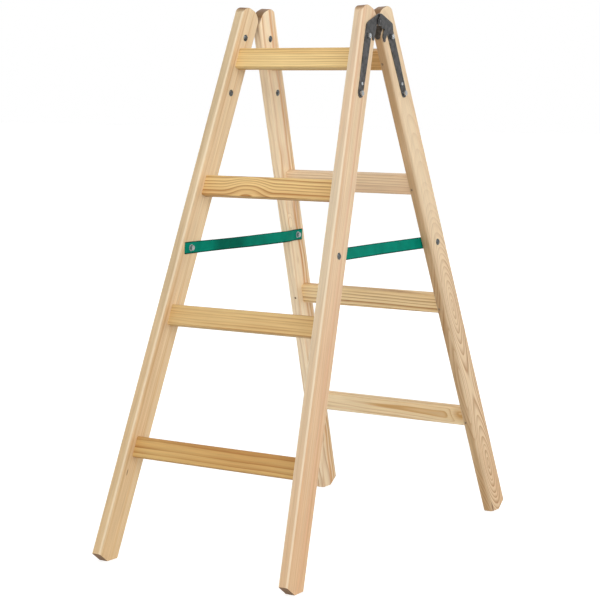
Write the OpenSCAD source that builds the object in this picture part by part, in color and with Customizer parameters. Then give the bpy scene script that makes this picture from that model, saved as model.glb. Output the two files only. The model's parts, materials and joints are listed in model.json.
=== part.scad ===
// Folding wooden trestle ladder. Two leaves, each of two splayed stiles and four rungs, turn on a pair of
// riveted steel hinges at the top, and two webbing bands stop them when they stand open.
// The origin is on the floor, midway between the four feet. X runs across the ladder, the front leaf
// stands on the -Y side and the rear leaf on the +Y side. Lengths are millimetres, angles are degrees.

/* [Leaves] */
// Angle of each leaf from the vertical when the bands are tight
half_spread = 19.8; // [14:0.1:24]
// Angle at which the stiles of a leaf spread apart towards the floor
splay = 3.9; // [1:0.1:6]
// Width over the stiles at the height of the hinge axis
top_width = 314; // [260:2:420]

/* [Stiles] */
// Depth of a stile from its inner edge to its outer edge
stile_depth = 63; // [54:1:80]
// Thickness of a stile
stile_t = 21; // [18:0.5:30]
// Radius along the long edges of a stile
stile_edge_r = 4; // [1:0.5:6]
// Length of a stile above the hinge axis
stile_rise = 18.5; // [14:0.5:30]
// Radius of the inner corner at the top of a stile
top_inner_r = 28; // [22:1:30]
// Radius of the outer corner at the top of a stile
top_outer_r = 24; // [8:1:24]
// Length of the flat under a foot, from its inner corner
foot_flat = 34; // [20:1:45]
// Angle between the floor and the bevel at the outside of a foot
foot_bevel = 37; // [25:1:50]

/* [Rungs] */
// Distance along the leaf from the hinge axis to the middle of the first rung
first_rung = 93; // [85:1:115]
// Distance along the leaf from one rung to the next
rung_pitch = 280; // [250:1:300]
// Distance along the leaf from the last rung to the floor
last_rung_to_floor = 238; // [150:1:300]
// Height of a rung, along the leaf
rung_h = 43; // [34:1:56]
// Thickness of a rung
rung_t = 19; // [16:0.5:28]
// Radius along the long edges of a rung
rung_edge_r = 3; // [1:0.5:5]
// Depth of a tenon in its stile
tenon_depth = 12; // [8:0.5:14]
// Height of the shoulders above and below a tenon
tenon_shoulder = 6; // [3:0.5:9]
// Width of the cheeks in front of and behind a tenon
tenon_cheek = 4; // [2:0.5:6]
// Clearance around a tenon in its mortise
tenon_gap = 0.1; // [0.05:0.05:0.3]

/* [Rung nails] */
// Diameter of a nail
nail_d = 2.5; // [2:0.1:3.5]
// Length of a nail under its head
nail_length = 45; // [38:1:52]
// Diameter of a nail head
nail_head_d = 5; // [4:0.5:7]
// Thickness of a nail head, which is driven flush
nail_head_t = 1.2; // [0.8:0.1:2]

/* [Hinge arms] */
// Thickness of the sheet steel
sheet_t = 2; // [1.5:0.1:3]
// Gap from the folding plane to the tongue that lies along it
fold_gap = 0.3; // [0.2:0.1:1]
// Radius of the head's upper corner, about the rivet
ear_r = 16; // [13:0.5:17]
// Radius of the eye around the rivet
eye_r = 9.5; // [8:0.5:11]
// Distance from the hinge axis to the elbow, where the head runs into the strap
elbow_drop = 20; // [18:0.5:25]
// Radius of the elbow
elbow_r = 12; // [4:0.5:14]
// Distance from the hinge axis to the upper bolt
upper_bolt = 44.5; // [40:0.5:48]
// Distance from the hinge axis to the small screw
screw_drop = 147; // [130:1:150]
// Distance from the hinge axis to the lower bolt
lower_bolt = 167.5; // [164:0.5:180]
// Width of the strap at the elbow
strap_w = 24; // [18:0.5:28]
// Width of the strap at its round end
strap_end_w = 18; // [16:0.5:22]
// Distance from the hinge axis to the top of the notch between the strap and the lobe
notch_drop = 33; // [29:0.5:36]
// Distance from the hinge axis to the lower end of the lobe
lobe_drop = 46; // [42:0.5:52]
// Radius of the round tip of the lobe
lobe_r = 3.5; // [2:0.5:4]
// Set-back of the inner arm's lobe from the corner of the stile
lobe_inset = 6; // [2:0.5:6]
// Distance from the hinge axis to the lower end of the outer arm's tongue
tongue_drop = 39; // [36:0.5:44]
// Width of the tongue on the inner edge of the stile
tongue_w = 13; // [10:0.5:14]
// Set-back of the tongue from the corner of the stile
tongue_inset = 4; // [2:0.5:5]
// Height of the tab that folds the tongue round the corner
tab_h = 6; // [4:0.5:7]
// Depth of the slot between the tongue and the lobe, from the folding plane
slot_depth = 12; // [8:0.5:14]
// Distance from the hinge axis to the top of the slot
slot_top = 19; // [18:0.5:21]
// Distance from the hinge axis to the lower end of the slot
slot_bottom = 31; // [28:0.5:34]

/* [Hinge rivets] */
// Diameter of the rivet
rivet_d = 8; // [5:0.5:9]
// Diameter of both rivet heads
rivet_head_d = 11; // [10:0.5:13]
// Height of the round outer head
rivet_head_h = 3.5; // [2:0.5:5]
// Thickness of the flat inner head
rivet_tail_t = 1.6; // [1:0.1:2]
// Gap between the two ears, and between a rivet head and a sheet that turns or wood beside it
ear_gap = 0.3; // [0.2:0.1:0.8]
// Clearance of the rivet in the ear that turns on it
running_gap = 0.05; // [0.02:0.01:0.1]

/* [Bolts and screws] */
// Diameter of the cup-head bolts
bolt_d = 6; // [5:0.5:6]
// Diameter of a cup head
cup_d = 14; // [12:0.5:16]
// Height of a cup head
cup_h = 3.6; // [2.5:0.1:5]
// Width of a nut across its flats
nut_w = 10; // [8.5:0.5:11]
// Height of a nut
nut_h = 5; // [3.5:0.5:6]
// Length of thread that stands out of a nut
thread_end = 1.5; // [0.5:0.5:4]
// Clearance round a bolt in wood, steel, washer and webbing
bolt_gap = 0.2; // [0.1:0.05:0.5]
// Clearance of a nut on its thread
thread_gap = 0.05; // [0.02:0.01:0.1]
// Diameter of the small wood screws
screw_d = 3.5; // [3:0.5:4]
// Length of a small screw under its head
screw_length = 16; // [12:1:18]
// Diameter of a small screw's round head
screw_head_d = 7; // [6:0.5:8]
// Height of a small screw's round head
screw_head_h = 2.4; // [1.5:0.1:3.5]

/* [Bands] */
// Width of the webbing
band_w = 25; // [18:1:35]
// Thickness of the webbing
band_t = 1.8; // [1:0.1:3]
// Distance along the leaf from the second rung to the band bolt
band_below_rung = 134; // [90:1:190]
// Length of webbing past the middle of its bolt
band_tail = 19; // [14:1:30]
// Gap between the webbing and the wood or washer that clamps it
soft_gap = 0.1; // [0.05:0.05:0.2]
// Diameter of a band washer
washer_d = 14; // [12:0.5:18]
// Thickness of a band washer
washer_t = 1.2; // [0.8:0.1:2]

/* [Hidden] */
$fn = 64;

front = -1;
rear = 1;
left = -1;
right = 1;
sides = [left, right];
rung_count = 4;
// Overcut that carries a cutting shape past the face it cuts
over = 1;

// Places along and across a leaf. Drop is measured down the leaf from the hinge axis.
axis_gap = fold_gap + sheet_t;
mid_depth = axis_gap + stile_depth / 2;
outer_depth = axis_gap + stile_depth;
floor_drop = first_rung + (rung_count - 1) * rung_pitch + last_rung_to_floor;
axis_height = floor_drop * cos(half_spread) - mid_depth * sin(half_spread);
board_length = (floor_drop + stile_depth) / cos(splay);
// Lengths that carry a shape right through a stile, through a leaf and past a leaf's ends
stile_through = 4 * stile_t;
leaf_through = 4 * outer_depth;
leaf_reach = 2 * board_length;
function rung_drop(i) = first_rung + (i - 1) * rung_pitch;

// Half widths over and between the stiles
function outer_x(drop) = top_width / 2 + drop * tan(splay);
function inner_x(drop) = outer_x(drop) - stile_t / cos(splay);

// Foot: where its inner corner meets the floor
foot_drop = (axis_height + axis_gap * sin(half_spread)) / cos(half_spread);
foot_y = axis_gap * cos(half_spread) + foot_drop * sin(half_spread);

// Tenons and nails
tenon_h = rung_h - 2 * tenon_shoulder;
tenon_t = rung_t - 2 * tenon_cheek;
nail_x = -stile_t + tenon_depth / 2;
function nail_z(i) = -(rung_drop(i) + nail_x * sin(splay)) / cos(splay);

// Hinge arms: the ears lie square to the axis, and the straps lie on the sloping stiles. The same hinge
// serves on both sides, turned half round, so its outer arm is at the rear right and at the front left.
tail_r = rivet_head_d / 2;
inner_ear_x = outer_x(tail_r) + ear_gap + rivet_tail_t;
outer_ear_x = inner_ear_x + sheet_t + ear_gap;
rivet_seat_x = outer_ear_x + sheet_t + ear_gap;
tab_top = eye_r + ear_gap;
tab_bottom = tab_top + tab_h;
nut_r = nut_w / 2 / cos(30);
strap_flat = (upper_bolt - nut_w) * cos(splay);
strap_end = lower_bolt * cos(splay);
strap_top = upper_bolt * cos(splay);
strap_face = sheet_t * cos(splay);
elbow = [-(mid_depth + strap_w / 2), -elbow_drop];

// Bands: the middle of a band bolt where it meets the inner face of its stile
band_drop = rung_drop(2) + band_below_rung;
band_leaf_z = -stile_t * sin(splay) - band_drop * cos(splay);
band_x = top_width / 2 - stile_t * cos(splay) + band_drop * sin(splay);
band_y = mid_depth * cos(half_spread) - band_leaf_z * sin(half_spread);
band_z = axis_height + mid_depth * sin(half_spread) + band_leaf_z * cos(half_spread);
band_edge_drop = (axis_gap * sin(half_spread) + axis_height - band_z) / cos(half_spread);
band_edge_y = axis_gap * cos(half_spread) + band_edge_drop * sin(half_spread);
band_end_y = band_y + band_tail;
// Tilt of a band about Y, and the slope of the stile's face along it
band_tilt = atan(tan(splay) * cos(half_spread));
band_face = cos(splay) * cos(band_tilt) + sin(splay) * cos(half_spread) * sin(band_tilt);
band_slope = sin(splay) * sin(half_spread) / band_face;
band_grip = stile_t + band_t + 2 * soft_gap + washer_t;
// Place of the webbing's face across the ladder, from the middle of the bolt
function band_face_x(y) = band_slope * (y - band_y) - soft_gap;

// Colours
pine = "#E6CDA8";
rung_pine = "#DDBE8C";
hinge_steel = "#55595C";
bright_steel = "#B9BCBE";
webbing_green = "#0E7F5E";

// Frames

// Carries a leaf drawn upright, with the hinge axis at the origin and its depth along -Y, to its place
module leaf_frame(leaf) {
    translate([0, 0, axis_height])
        if (leaf == rear) mirror([0, 1, 0]) rotate([-half_spread, 0, 0]) children();
        else rotate([-half_spread, 0, 0]) children();
}

// Carries the right-hand side of a leaf to the asked side
module side_frame(side) {
    if (side == left) mirror([1, 0, 0]) children();
    else children();
}

// Frame of a right-hand stile: x from its outer face outwards, z up along its length
module board_frame() {
    translate([top_width / 2, 0, 0]) rotate([0, -splay, 0]) children();
}

// Frame at a place on a stile's outer face, halfway across its depth
module bolt_frame(leaf, side, drop) {
    leaf_frame(leaf) side_frame(side) board_frame() translate([0, -mid_depth, -drop]) children();
}

// Extrudes an outline drawn in Y and Z along X
module along_x(length) {
    rotate([90, 0, 90]) linear_extrude(length, center = true) children();
}

// Extrudes an outline drawn in X and Z along Y
module along_y(length) {
    rotate([90, 0, 0]) linear_extrude(length, center = true) children();
}

// Shared shapes

module rounded_rectangle(size, r) {
    translate([r, 0]) square([size.x - 2 * r, size.y]);
    translate([0, r]) square([size.x, size.y - 2 * r]);
    for (x = [r, size.x - r], y = [r, size.y - r]) translate([x, y]) circle(r);
}

// Turns a half profile, radius along X and length along Y, about the X axis
module turned() {
    rotate([0, 90, 0]) rotate_extrude() children();
}

// Half profile of a round head that stands on y = 0
module head_profile(d, h) {
    r = (d * d / 4 + h * h) / (2 * h);
    intersection() {
        translate([0, h - r]) circle(r);
        square([d, h + over]);
    }
}

// Round bar along X, from x = 0
module bar_x(d, length) {
    rotate([0, 90, 0]) cylinder(d = d, h = length);
}

module nut() {
    difference() {
        rotate([0, 90, 0]) cylinder(r = nut_r, h = nut_h, $fn = 6);
        translate([-over, 0, 0]) bar_x(bolt_d + 2 * thread_gap, nut_h + 2 * over);
    }
}

// Cup-head bolt with its head under x = 0, and its shank along +X
module cup_bolt(grip) {
    turned() {
        mirror([0, 1]) head_profile(cup_d, cup_h);
        translate([0, -cup_h / 2]) square([bolt_d / 2, cup_h / 2 + grip + nut_h + thread_end]);
    }
}

module bolt_hole() {
    translate([-stile_t - washer_d, 0, 0]) bar_x(bolt_d + 2 * bolt_gap, stile_t + 2 * washer_d);
}

// Nail from the inner edge of a stile, through the tenon of rung i
module nail(i) {
    translate([nail_x, -axis_gap, nail_z(i)]) rotate([90, 0, 0]) {
        cylinder(d = nail_d, h = nail_head_t + nail_length);
        cylinder(d = nail_head_d, h = nail_head_t);
    }
}

// Stiles

module stile_section() {
    translate([-stile_t, -outer_depth]) rounded_rectangle([stile_t, stile_depth], stile_edge_r);
}

module corner_waste(r) {
    difference() {
        square(r + over);
        circle(r);
    }
}

// Side of a stile, in Y and Z, with the corners at its top rounded
module stile_side() {
    difference() {
        translate([-outer_depth, -board_length]) square([stile_depth, board_length + stile_rise]);
        translate([-axis_gap - top_inner_r, stile_rise - top_inner_r]) corner_waste(top_inner_r);
        translate([-outer_depth + top_outer_r, stile_rise - top_outer_r])
            mirror([1, 0]) corner_waste(top_outer_r);
    }
}

module stile_board() {
    intersection() {
        translate([0, 0, -board_length]) linear_extrude(board_length + stile_rise) stile_section();
        along_x(stile_through) stile_side();
    }
}

// Everything under the floor, and under the bevel at the outside of a foot
module foot_waste(leaf) {
    side_y = leaf == rear ? 0 : 1;
    translate([-leaf_reach / 2, -leaf_reach / 2, -leaf_reach]) cube(leaf_reach);
    mirror([0, side_y, 0]) translate([0, foot_y + foot_flat, 0]) rotate([foot_bevel, 0, 0])
        translate([-leaf_reach / 2, 0, -leaf_reach]) cube(leaf_reach);
}

// The space between the stiles of a leaf, carried a depth into both of them
module between_stiles(depth) {
    side_step = depth / cos(splay);
    high = stile_rise + over;
    top = inner_x(-high) + side_step;
    bottom = inner_x(leaf_reach) + side_step;
    along_y(leaf_through)
        polygon([[-top, high], [top, high], [bottom, -leaf_reach], [-bottom, -leaf_reach]]);
}

// Bar with the height and thickness of a tenon, and a clearance round it
module tenon_bar(i, depth, gap) {
    intersection() {
        translate([0, -mid_depth, -rung_drop(i)]) along_x(leaf_reach)
            square([tenon_t + 2 * gap, tenon_h + 2 * gap], center = true);
        between_stiles(depth);
    }
}

module stile(leaf, side) {
    color(pine) difference() {
        leaf_frame(leaf) side_frame(side) difference() {
            board_frame() stile_board();
            for (i = [1 : rung_count]) {
                tenon_bar(i, tenon_depth + tenon_gap, tenon_gap);
                board_frame() nail(i);
            }
        }
        for (drop = [upper_bolt, lower_bolt, band_drop]) bolt_frame(leaf, side, drop) bolt_hole();
        bolt_frame(leaf, side, screw_drop)
            translate([strap_face - screw_length, 0, 0]) bar_x(screw_d, screw_length);
        foot_waste(leaf);
    }
}

// Rungs

module rung_bar(i) {
    translate([0, -mid_depth, -rung_drop(i)]) along_x(leaf_reach)
        translate([-rung_t / 2, -rung_h / 2]) rounded_rectangle([rung_t, rung_h], rung_edge_r);
}

module rung(leaf, i) {
    color(rung_pine) leaf_frame(leaf) difference() {
        union() {
            intersection() {
                rung_bar(i);
                between_stiles(0);
            }
            tenon_bar(i, tenon_depth, 0);
        }
        for (side = sides) side_frame(side) board_frame() nail(i);
    }
}

module rung_nails(leaf) {
    color(bright_steel) leaf_frame(leaf)
        for (side = sides, i = [1 : rung_count]) side_frame(side) board_frame() nail(i);
}

// Hinges

// Where the line from a point outside touches the upper side of the ear
function ear_tangent(p) = let (a = atan2(p.y, p.x) - acos(ear_r / norm(p))) [ear_r * cos(a), ear_r * sin(a)];

// Outline of an arm in Y and Z: eye, head with its round elbow and its lobe, and tapered strap
module arm_outline(outer_arm) {
    strap_inner = mid_depth - strap_w / 2;
    strap_outer = mid_depth + strap_w / 2;
    lobe_z = -lobe_drop + lobe_r;
    lobe_edge = outer_arm ? axis_gap : axis_gap + lobe_inset;
    inner_edge = outer_arm
        ? [[-lobe_edge, -slot_bottom], [-slot_depth, -slot_top], [-fold_gap, -tab_bottom], [-fold_gap, 0]]
        : [[-lobe_edge, 0]];
    ear = ear_tangent(elbow);
    up = (ear - elbow) / norm(ear - elbow);
    down = [0, -1];
    half_elbow = acos(up * down) / 2;
    elbow_reach = elbow_r / tan(half_elbow);
    union() {
        circle(eye_r);
        intersection() {
            circle(ear_r);
            translate([-ear_r, 0]) square(ear_r);
        }
        translate(elbow + (up + down) / norm(up + down) * elbow_r / sin(half_elbow)) circle(elbow_r);
        polygon(concat([
            [0, 0], ear, elbow + up * elbow_reach, elbow + down * elbow_reach,
            [-strap_outer, -strap_top], [-mid_depth - strap_end_w / 2, -strap_end],
            [-mid_depth + strap_end_w / 2, -strap_end], [-strap_inner, -strap_top],
            [-strap_inner, -notch_drop], [-lobe_edge - 2 * lobe_r, lobe_z], [-lobe_edge, lobe_z]
        ], inner_edge));
        translate([-lobe_edge - lobe_r, lobe_z]) circle(lobe_r);
        translate([-mid_depth, -strap_end]) circle(d = strap_end_w);
    }
}

// Edge-on profile of an arm in X and Z: down the ear, in to the stile, and along its outer face
module arm_profile(ear_x) {
    low = strap_end + strap_end_w;
    outer = [
        [ear_x, ear_r + over], [ear_x, -elbow_drop], [outer_x(strap_flat), -strap_flat], [outer_x(low), -low]
    ];
    inner = [for (i = [len(outer) - 1 : -1 : 0]) outer[i] - [sheet_t, 0]];
    translate([sheet_t, 0]) polygon(concat(outer, inner));
}

// Tongue in X and Z: out to the ear at the top, and round at its lower end
module tongue_outline() {
    end_z = -tongue_drop + tongue_w / 2;
    end_x = outer_x(-end_z) - tongue_inset - tongue_w / 2;
    ear_face = outer_ear_x + sheet_t;
    polygon([
        [ear_face, -tab_top], [ear_face, -tab_bottom], [end_x + tongue_w / 2, end_z],
        [end_x - tongue_w / 2, end_z], [outer_x(tab_top) - tongue_inset - tongue_w, -tab_top]
    ]);
    translate([end_x, end_z]) circle(d = tongue_w);
}

module hinge_arm(leaf, side) {
    outer_arm = leaf == side;
    hole_gap = leaf == front ? 0 : running_gap;
    color(hinge_steel) difference() {
        leaf_frame(leaf) side_frame(side) difference() {
            union() {
                intersection() {
                    along_y(leaf_through) arm_profile(outer_arm ? outer_ear_x : inner_ear_x);
                    along_x(leaf_reach) arm_outline(outer_arm);
                }
                if (outer_arm) translate([0, -fold_gap - sheet_t / 2, 0]) along_y(sheet_t) tongue_outline();
            }
            bar_x(rivet_d + 2 * hole_gap, leaf_reach);
        }
        for (drop = [upper_bolt, lower_bolt]) bolt_frame(leaf, side, drop) bolt_hole();
        bolt_frame(leaf, side, screw_drop) translate([-over, 0, 0]) bar_x(screw_d, 2 * over + sheet_t);
    }
}

module hinge_rivet(side) {
    grip = rivet_seat_x - inner_ear_x;
    color(hinge_steel) leaf_frame(front) side_frame(side) translate([inner_ear_x, 0, 0]) turned() {
        translate([0, -rivet_tail_t]) square([tail_r, rivet_tail_t]);
        translate([0, -rivet_tail_t]) square([rivet_d / 2, rivet_tail_t + grip + over]);
        translate([0, grip]) head_profile(rivet_head_d, rivet_head_h);
    }
}

// Bolts from the inside of the stiles, with their nuts on the straps
module hinge_bolts(leaf) {
    color(bright_steel) for (side = sides, drop = [upper_bolt, lower_bolt])
        bolt_frame(leaf, side, drop) translate([-stile_t, 0, 0]) cup_bolt(stile_t + strap_face);
}

module hinge_nuts(leaf) {
    color(bright_steel) for (side = sides, drop = [upper_bolt, lower_bolt])
        bolt_frame(leaf, side, drop) translate([strap_face, 0, 0]) nut();
}

module hinge_screws(leaf) {
    color(bright_steel) for (side = sides)
        bolt_frame(leaf, side, screw_drop) translate([strap_face, 0, 0]) turned() {
            head_profile(screw_head_d, screw_head_h);
            translate([0, -screw_length]) square([screw_d / 2, screw_length + screw_head_h / 2]);
        }
}

// Bands

// Plan of a right-hand band: straight between the stiles, and flat on their inner faces at both ends
module band_plan() {
    y = [-band_end_y, -band_edge_y, band_edge_y, band_end_y];
    face = [for (v = y) [band_face_x(abs(v)), v]];
    back = [for (i = [len(face) - 1 : -1 : 0]) face[i] - [band_t, 0]];
    polygon(concat(face, back));
}

module band(side) {
    color(webbing_green) difference() {
        side_frame(side) translate([band_x, 0, band_z]) rotate([0, -band_tilt, 0])
            linear_extrude(band_w, center = true) band_plan();
        for (leaf = [front, rear]) bolt_frame(leaf, side, band_drop) bolt_hole();
    }
}

// Bolts from the outside of the stiles, with their washers and nuts on the webbing
module band_bolts(leaf) {
    color(bright_steel) for (side = sides)
        bolt_frame(leaf, side, band_drop) mirror([1, 0, 0]) cup_bolt(band_grip);
}

module band_washers(leaf) {
    color(bright_steel) for (side = sides) bolt_frame(leaf, side, band_drop) difference() {
        translate([-band_grip, 0, 0]) bar_x(washer_d, washer_t);
        bolt_hole();
    }
}

module band_nuts(leaf) {
    color(bright_steel) for (side = sides)
        bolt_frame(leaf, side, band_drop) translate([-band_grip - nut_h, 0, 0]) nut();
}

stile(front, left);  // front_left_stile
stile(front, right);  // front_right_stile
stile(rear, left);  // rear_left_stile
stile(rear, right);  // rear_right_stile
rung(front, 1);  // front_rung_1
rung(front, 2);  // front_rung_2
rung(front, 3);  // front_rung_3
rung(front, 4);  // front_rung_4
rung(rear, 1);  // rear_rung_1
rung(rear, 2);  // rear_rung_2
rung(rear, 3);  // rear_rung_3
rung(rear, 4);  // rear_rung_4
rung_nails(front);  // front_rung_nails
rung_nails(rear);  // rear_rung_nails
hinge_arm(front, left);  // front_left_hinge_arm
hinge_arm(front, right);  // front_right_hinge_arm
hinge_arm(rear, left);  // rear_left_hinge_arm
hinge_arm(rear, right);  // rear_right_hinge_arm
hinge_rivet(left);  // left_hinge_rivet
hinge_rivet(right);  // right_hinge_rivet
hinge_bolts(front);  // front_hinge_bolts
hinge_bolts(rear);  // rear_hinge_bolts
hinge_nuts(front);  // front_hinge_nuts
hinge_nuts(rear);  // rear_hinge_nuts
hinge_screws(front);  // front_hinge_screws
hinge_screws(rear);  // rear_hinge_screws
band(left);  // left_band
band(right);  // right_band
band_bolts(front);  // front_band_bolts
band_bolts(rear);  // rear_band_bolts
band_washers(front);  // front_band_washers
band_washers(rear);  // rear_band_washers
band_nuts(front);  // front_band_nuts
band_nuts(rear);  // rear_band_nuts
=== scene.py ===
import json
import math

import bmesh
import bpy
from mathutils import Matrix, Vector


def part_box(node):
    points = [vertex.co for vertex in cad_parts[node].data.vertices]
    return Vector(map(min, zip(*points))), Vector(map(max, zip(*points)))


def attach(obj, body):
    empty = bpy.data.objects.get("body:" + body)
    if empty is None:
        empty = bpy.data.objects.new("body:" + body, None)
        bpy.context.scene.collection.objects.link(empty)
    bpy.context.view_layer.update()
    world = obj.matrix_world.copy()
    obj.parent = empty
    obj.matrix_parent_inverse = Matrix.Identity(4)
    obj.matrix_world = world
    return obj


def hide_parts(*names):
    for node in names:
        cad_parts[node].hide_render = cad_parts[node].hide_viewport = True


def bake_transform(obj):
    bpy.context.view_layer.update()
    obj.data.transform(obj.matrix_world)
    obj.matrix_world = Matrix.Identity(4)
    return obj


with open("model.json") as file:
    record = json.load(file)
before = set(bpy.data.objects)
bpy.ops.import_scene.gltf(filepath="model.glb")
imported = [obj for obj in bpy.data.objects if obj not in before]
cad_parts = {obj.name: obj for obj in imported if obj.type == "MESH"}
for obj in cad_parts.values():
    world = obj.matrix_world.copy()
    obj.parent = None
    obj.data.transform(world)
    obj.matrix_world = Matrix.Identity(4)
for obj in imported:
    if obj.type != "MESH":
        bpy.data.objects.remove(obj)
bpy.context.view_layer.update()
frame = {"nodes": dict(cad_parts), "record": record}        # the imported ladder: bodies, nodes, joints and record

mm = 0.001
behaviour = frame["record"]["behaviour"]
axisPoint = Vector(behaviour["joints"][0]["pos_m"])
bodyOf = {node: body for body, nodes in behaviour["bodies"].items() for node in nodes}
print("frame:", len(frame["nodes"]), "nodes, hinge axis", round(axisPoint.z, 4), "m up")

leaves = {"front": -1, "rear": 1}
sides = {"left": -1, "right": 1}

# Main sizes in millimetres and degrees, as the solids have them
ladder = {
    "halfSpread": 19.8,     # lean of each leaf from upright
    "splay": 3.9,           # lean of each stile out towards the floor
    "topWidth": 314.0,      # over both stiles, level with the hinge axis
    "axisGap": 2.3,         # from the folding plane to the inner edge of a stile
    "firstRung": 93.0,      # down the leaf from the axis to the middle of rung 1
    "rungPitch": 280.0,
    "rungCount": 4,
}

stile = {
    "depth": 63.0,
    "thick": 21.0,
    "edgeR": 4.0,
    "rise": 18.5,           # of the top above the hinge axis
    "topInnerR": 28.0,
    "topOuterR": 24.0,
    "footFlat": 34.0,
    "footBevel": 37.0,      # degrees
    "softRim": 0.9,         # rounding of the sawn ends
    "arcSteps": 12,
    "edgeSteps": 6,
    "rimSteps": 3,
    "leastStep": 0.1,       # between two points across the board
    "stations": 12,
    "clear": 8.0,           # from the straight stretch to the foot and to the rounded top
}

lean = math.radians(ladder["halfSpread"])
splay = math.radians(ladder["splay"])
midDepth = ladder["axisGap"] + stile["depth"] / 2


def rungDrop(number):
    return ladder["firstRung"] + (number - 1) * ladder["rungPitch"]


def innerX(drop):
    return ladder["topWidth"] / 2 + drop * math.tan(splay) - stile["thick"] / math.cos(splay)


def frameOf(x, y, z, origin):
    place = Matrix((x, y, z)).transposed().to_4x4()
    place.translation = origin
    return place


# Directions up a leaf, and out of it away from the folding plane
def leafAxes(leaf):
    up = Vector((0, -leaf * math.sin(lean), math.cos(lean)))
    depth = Vector((0, leaf * math.cos(lean), math.sin(lean)))
    return up, depth


# In the middle of a stile, level with the hinge axis: x out through its face, z up the grain
def boardFrame(leaf, side):
    up, depth = leafAxes(leaf)
    away = Vector((side, 0, 0))
    face = away * math.cos(splay) + up * math.sin(splay)
    along = up * math.cos(splay) - away * math.sin(splay)
    origin = axisPoint + (away * ladder["topWidth"] / 2 + depth * midDepth - face * stile["thick"] / 2) * mm
    return frameOf(face, along.cross(face), along, origin)


# In the middle of a rung: x along the grain, z up the leaf
def rungFrame(leaf, number):
    up, depth = leafAxes(leaf)
    origin = axisPoint + (depth * midDepth - up * rungDrop(number)) * mm
    return frameOf(Vector((1, 0, 0)), depth * leaf, up, origin)


# On the outer face of a stile, x along the bolt
def boltFrame(leaf, side, drop, turn=0):
    spot = Matrix.Translation(Vector((stile["thick"] / 2, 0, -drop)) * mm)
    return boardFrame(leaf, side) @ spot @ Matrix.Rotation(math.radians(turn), 4, "X")


def moved(x, y=0, z=0):
    return Matrix.Translation(Vector((x, y, z)) * mm)


# Mesh helpers: points are in millimetres, a part is points, faces and the place they go to
def camel(node):
    head, *rest = node.split("_")
    return head + "".join(word.capitalize() for word in rest)


def smooth(mesh, sharp):
    mesh.shade_smooth()
    mesh.set_sharp_from_angle(angle=math.radians(sharp))


def keepPiece(node, mesh, shape, sharp):
    shape.to_mesh(mesh)
    shape.free()
    smooth(mesh, sharp)
    piece = bpy.data.objects.new(camel(node), mesh)
    bpy.context.collection.objects.link(piece)
    return piece


def newPiece(node, parts, sharp=35):
    points, faces = [], []
    for partPoints, partFaces, spot in parts:
        first = len(points)
        points += [spot @ (Vector(p) * mm) for p in partPoints]
        faces += [[first + k for k in face] for face in partFaces]
    mesh = bpy.data.meshes.new(camel(node))
    mesh.from_pydata(points, [], faces)
    shape = bmesh.new()
    shape.from_mesh(mesh)
    bmesh.ops.recalc_face_normals(shape, faces=shape.faces)
    return keepPiece(node, mesh, shape, sharp)


# Keeps each point's place on its own board, across it, through it and along the grain, for the wood
def markGrain(piece, place, order):
    back = place.inverted()
    spots = [back @ point.co for point in piece.data.vertices]
    layer = piece.data.attributes.new("grain", "FLOAT_VECTOR", "POINT")
    layer.data.foreach_set("vector", [spot[k] for spot in spots for k in order])


# Shades flat faces flat, up to the rounded edges beside them
def evenShade(piece):
    piece.modifiers.new("evenShade", "WEIGHTED_NORMAL").keep_sharp = True


def dress(piece, node, material):
    piece.data.materials.clear()
    piece.data.materials.append(material)
    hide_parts(node)
    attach(piece, bodyOf[node])


# Takes the tool parts out of a piece and keeps the result as its mesh
def cut(piece, tools, sharp=35, crossing=False):
    tool = newPiece("cutter", tools)
    change = piece.modifiers.new("cut", "BOOLEAN")
    change.object = tool
    change.solver = "EXACT"
    change.use_self = crossing
    bpy.context.view_layer.update()
    graph = bpy.context.evaluated_depsgraph_get()
    mesh = bpy.data.meshes.new_from_object(piece.evaluated_get(graph))
    piece.modifiers.clear()
    piece.data = mesh
    bpy.data.objects.remove(tool)
    smooth(mesh, sharp)


# Points of equal rings and the faces between them, with the last joined to the first where it closes
def skin(rings, closed=False):
    count = len(rings[0])
    faces = []
    for low in range(len(rings) if closed else len(rings) - 1):
        high = (low + 1) % len(rings)
        for k in range(count):
            n = (k + 1) % count
            faces.append((low * count + k, low * count + n, high * count + n, high * count + k))
    return [point for ring in rings for point in ring], faces


# Skin over rings whose second halves mirror the first, with strips across both ends
def loft(rings):
    count = len(rings[0])
    points, faces = skin(rings)
    for start in (0, len(points) - count):
        for k in range(count // 2 - 1):
            faces.append((start + k, start + k + 1, start + count - 2 - k, start + count - 1 - k))
    return points, faces


# A profile of (x, radius) turned about x; it ends in poles, or closes on itself as a ring
def turned(profile, steps=40, closed=False):
    points, rings = [], []
    for x, radius in profile:
        if radius == 0:
            rings.append([len(points)] * steps)
            points.append((x, 0, 0))
            continue
        rings.append(list(range(len(points), len(points) + steps)))
        for k in range(steps):
            angle = 2 * math.pi * k / steps
            points.append((x, radius * math.cos(angle), radius * math.sin(angle)))
    faces = []
    for near, far in zip(rings, rings[1:] + rings[:1] if closed else rings[1:]):
        for k in range(steps):
            n = (k + 1) % steps
            faces.append(list(dict.fromkeys((near[k], near[n], far[n], far[k]))))
    return points, faces


# Distances from a straight edge at which an arc of this radius is stepped
def arcStops(radius, steps):
    return [radius * (1 - math.cos(math.pi / 2 * k / steps)) for k in range(steps + 1)]


# How far an arc lies short of the full width, at a distance from the edge
def arcShort(near, radius):
    if near >= radius:
        return 0
    return radius - math.sqrt(radius ** 2 - (radius - near) ** 2)


def thinned(stops, least):
    kept = []
    for stop in sorted(stops):
        if not kept or stop - kept[-1] > least:
            kept.append(stop)
    return kept


# Materials
def hexColor(code):
    parts = [int(code[k:k + 2], 16) / 255 for k in (1, 3, 5)]
    return [c / 12.92 if c <= 0.04045 else ((c + 0.055) / 1.055) ** 2.4 for c in parts] + [1]


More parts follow.
